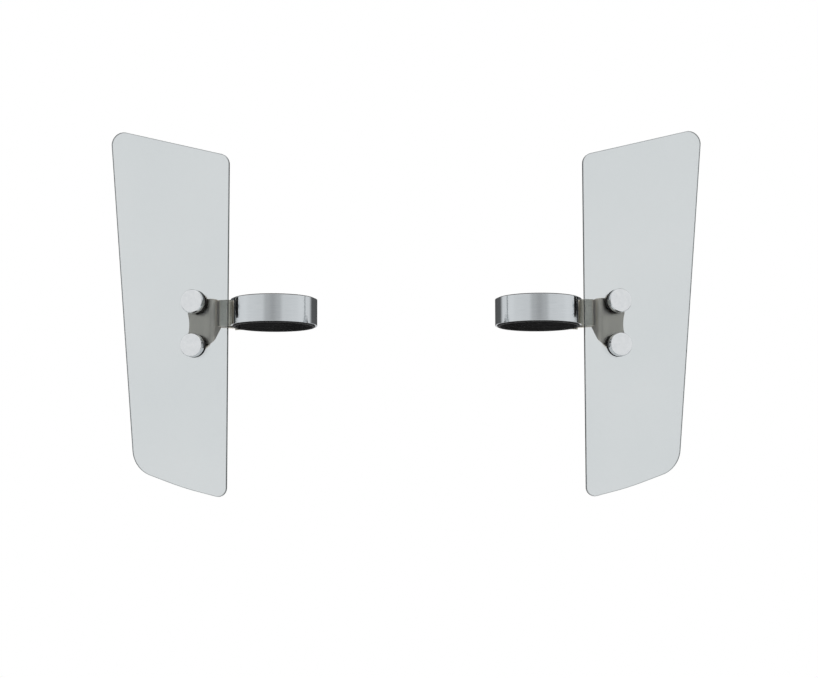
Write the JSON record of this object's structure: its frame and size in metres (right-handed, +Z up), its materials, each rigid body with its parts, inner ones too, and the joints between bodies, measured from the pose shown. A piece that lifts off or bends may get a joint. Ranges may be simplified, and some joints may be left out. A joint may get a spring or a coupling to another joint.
{
  "type": "fork-mounted wind deflector pair",
  "caption": "Left and right tinted clear wind deflector screens for a motorcycle's front fork, each on a bent steel bracket with a rubber-lined band clamp and chrome cap screws.",
  "frame": {"origin": "midway between the two fork leg axes, at the clamps' mid-height", "axes": "+Z up along the fork legs, +X to the right of someone facing the screens, +Y rearward"},
  "size_m": [0.576, 0.1001, 0.3569],
  "materials": {
    "tinted_polycarbonate": "clear polycarbonate sheet with a light smoke tint, polished edges",
    "brushed_stainless": "brushed stainless sheet, satin",
    "polished_stainless": "polished stainless strip, near mirror",
    "chrome_caps": "bright chrome",
    "plain_fasteners": "plain stainless fasteners",
    "black_rubber": "matte black rubber",
    "black_nylon": "matte black nylon"
  },
  "bodies": {
    "fork_liners": {"right_clamp_liner": "black_rubber", "left_clamp_liner": "black_rubber"},
    "right_clamp": {"right_fork_clamp": "polished_stainless", "right_clamp_bolt": "plain_fasteners", "right_bolt_head_washer": "plain_fasteners", "right_pivot_washer": "black_nylon", "right_nut_washer": "plain_fasteners", "right_clamp_lock_nut": "plain_fasteners"},
    "right_deflector": {"right_bracket": "brushed_stainless", "right_screen": "tinted_polycarbonate", "right_cap_screws": "chrome_caps", "right_front_rubber_washers": "black_rubber", "right_hole_bushes": "black_rubber", "right_rear_rubber_washers": "black_rubber", "right_backing_washers": "plain_fasteners", "right_cap_lock_nuts": "plain_fasteners"},
    "left_clamp": {"left_fork_clamp": "polished_stainless", "left_clamp_bolt": "plain_fasteners", "left_bolt_head_washer": "plain_fasteners", "left_pivot_washer": "black_nylon", "left_nut_washer": "plain_fasteners", "left_clamp_lock_nut": "plain_fasteners"},
    "left_deflector": {"left_bracket": "brushed_stainless", "left_screen": "tinted_polycarbonate", "left_cap_screws": "chrome_caps", "left_front_rubber_washers": "black_rubber", "left_hole_bushes": "black_rubber", "left_rear_rubber_washers": "black_rubber", "left_backing_washers": "plain_fasteners", "left_cap_lock_nuts": "plain_fasteners"}
  },
  "joints": [
    {"name": "right_swing", "type": "hinge", "parent": "fork_liners", "child": "right_clamp", "pos_m": [0.127, 0, 0], "axis": [0, 0, 1], "range_deg": [-16, 14]},
    {"name": "right_tilt", "type": "hinge", "parent": "right_clamp", "child": "right_deflector", "pos_m": [0.16908, 0.04952, 0], "axis": [0.9613, 0.2756, 0], "range_deg": [-8, 8]},
    {"name": "left_swing", "type": "hinge", "parent": "fork_liners", "child": "left_clamp", "pos_m": [-0.127, 0, 0], "axis": [0, 0, -1], "range_deg": [-16, 14]},
    {"name": "left_tilt", "type": "hinge", "parent": "left_clamp", "child": "left_deflector", "pos_m": [-0.16908, 0.04952, 0], "axis": [0.9613, -0.2756, 0], "range_deg": [-8, 8]}
  ]
}
